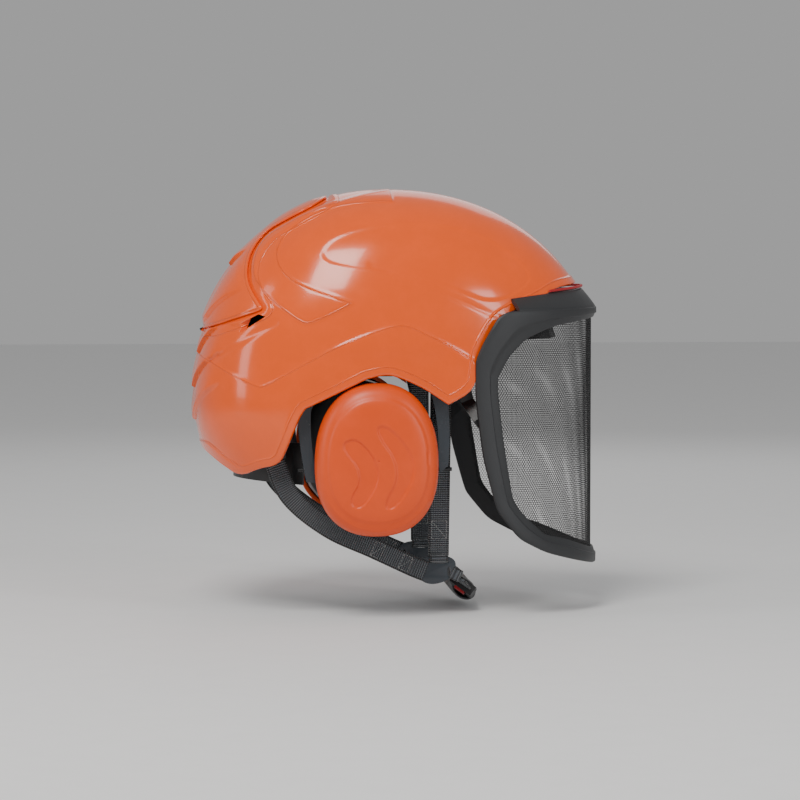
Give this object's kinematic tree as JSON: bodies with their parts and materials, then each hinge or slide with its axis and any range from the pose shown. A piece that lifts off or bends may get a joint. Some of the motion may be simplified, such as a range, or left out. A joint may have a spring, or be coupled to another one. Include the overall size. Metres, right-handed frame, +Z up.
{
  "type": "hard hat",
  "caption": "Forestry hard hat with a flip-up mesh face visor, ear cups on swinging yokes, an adjustable nape cradle and a chin strap.",
  "frame": {"origin": "middle of the head opening at brow level, where the wearer's head holds the hat", "axes": "+X forward, +Y to the wearer's left, +Z up"},
  "size_m": [0.316, 0.236, 0.3221],
  "materials": {
    "shell_orange": "glossy moulded orange plastic",
    "cup_orange": "satin orange plastic",
    "black_plastic": "black moulded plastic",
    "frame_plastic": "dark grey plastic",
    "visor_mesh": "black woven mesh, open",
    "red_lip": "red rubber",
    "yoke_plastic": "glossy blue-grey plastic",
    "steel": "turned steel",
    "acoustic_foam": "open-cell foam",
    "liner_foam": "moulded expanded foam",
    "pad_fabric": "grey marl knitted fabric",
    "webbing": "ribbed woven webbing"
  },
  "bodies": {
    "helmet": {"outer_shell": "shell_orange", "rear_cover": "shell_orange", "inner_shell": "black_plastic", "impact_liner": "liner_foam", "brow_pad": "pad_fabric", "crown_pad": "pad_fabric", "nape_guide": "black_plastic", "chin_strap_left": "webbing", "chin_strap_right": "webbing", "buckle_female": "black_plastic", "buckle_male": "black_plastic", "side_pad_left": "pad_fabric", "visor_bracket_left": "black_plastic", "visor_pivot_pin_left": "steel", "muff_bracket_left": "black_plastic", "front_strap_left": "webbing", "rear_strap_left": "webbing", "strap_divider_left": "black_plastic", "front_anchor_left": "black_plastic", "rear_anchor_left": "black_plastic", "side_pad_right": "pad_fabric", "visor_bracket_right": "black_plastic", "visor_pivot_pin_right": "steel", "muff_bracket_right": "black_plastic", "front_strap_right": "webbing", "rear_strap_right": "webbing", "strap_divider_right": "black_plastic", "front_anchor_right": "black_plastic", "rear_anchor_right": "black_plastic"},
    "visor": {"visor_frame": "frame_plastic", "visor_mesh": "visor_mesh", "visor_lip": "red_lip", "visor_arm_left": "black_plastic", "visor_arm_right": "black_plastic"},
    "nape": {"nape_cradle": "frame_plastic", "nape_pad": "pad_fabric"},
    "dial": {"nape_dial": "black_plastic"},
    "button": {"buckle_button": "red_lip"},
    "left_carrier": {"muff_slider_left": "black_plastic"},
    "left_yoke": {"muff_yoke_left": "yoke_plastic"},
    "left_cup": {"cup_cover_left": "cup_orange", "cup_housing_left": "black_plastic", "cup_foam_left": "acoustic_foam", "cup_cushion_left": "black_plastic"},
    "right_carrier": {"muff_slider_right": "black_plastic"},
    "right_yoke": {"muff_yoke_right": "yoke_plastic"},
    "right_cup": {"cup_cover_right": "cup_orange", "cup_housing_right": "black_plastic", "cup_foam_right": "acoustic_foam", "cup_cushion_right": "black_plastic"}
  },
  "joints": [
    {"name": "visor_lift", "type": "hinge", "parent": "helmet", "child": "visor", "pos_m": [0.0135, 0, 0.004], "axis": [0, -1, 0], "range_deg": [0, 58]},
    {"name": "nape_slide", "type": "slide", "parent": "helmet", "child": "nape", "axis": [1, 0, 0], "range_m": [0, 0.012]},
    {"name": "nape_dial_turn", "type": "hinge", "parent": "nape", "child": "dial", "pos_m": [-0.1285, 0, -0.074], "axis": [1, 0, 0], "range_deg": [0, 361]},
    {"name": "buckle_press", "type": "slide", "parent": "helmet", "child": "button", "axis": [0.6105, 0.0832, 0.7877], "range_m": [0, 0.0015], "stiffness_N_per_m": 400},
    {"name": "muff_height_left", "type": "slide", "parent": "helmet", "child": "left_carrier", "axis": [0, 0, -1], "range_m": [0, 0.01]},
    {"name": "muff_swing_left", "type": "hinge", "parent": "left_carrier", "child": "left_yoke", "pos_m": [-0.0204, 0.0865, -0.016], "axis": [1, 0, 0], "range_deg": [0, 8]},
    {"name": "muff_tilt_left", "type": "hinge", "parent": "left_yoke", "child": "left_cup", "pos_m": [-0.0204, 0.0865, -0.092], "axis": [1, 0, 0], "range_deg": [-6, 6]},
    {"name": "muff_height_right", "type": "slide", "parent": "helmet", "child": "right_carrier", "axis": [0, 0, -1], "range_m": [0, 0.01]},
    {"name": "muff_swing_right", "type": "hinge", "parent": "right_carrier", "child": "right_yoke", "pos_m": [-0.0204, -0.0865, -0.016], "axis": [-1, 0, 0], "range_deg": [0, 8]},
    {"name": "muff_tilt_right", "type": "hinge", "parent": "right_yoke", "child": "right_cup", "pos_m": [-0.0204, -0.0865, -0.092], "axis": [-1, 0, 0], "range_deg": [-6, 6]}
  ],
  "couplings": [
    {"joint": "nape_dial_turn", "follows": "nape_slide", "rad_per_m": 523.6}
  ]
}
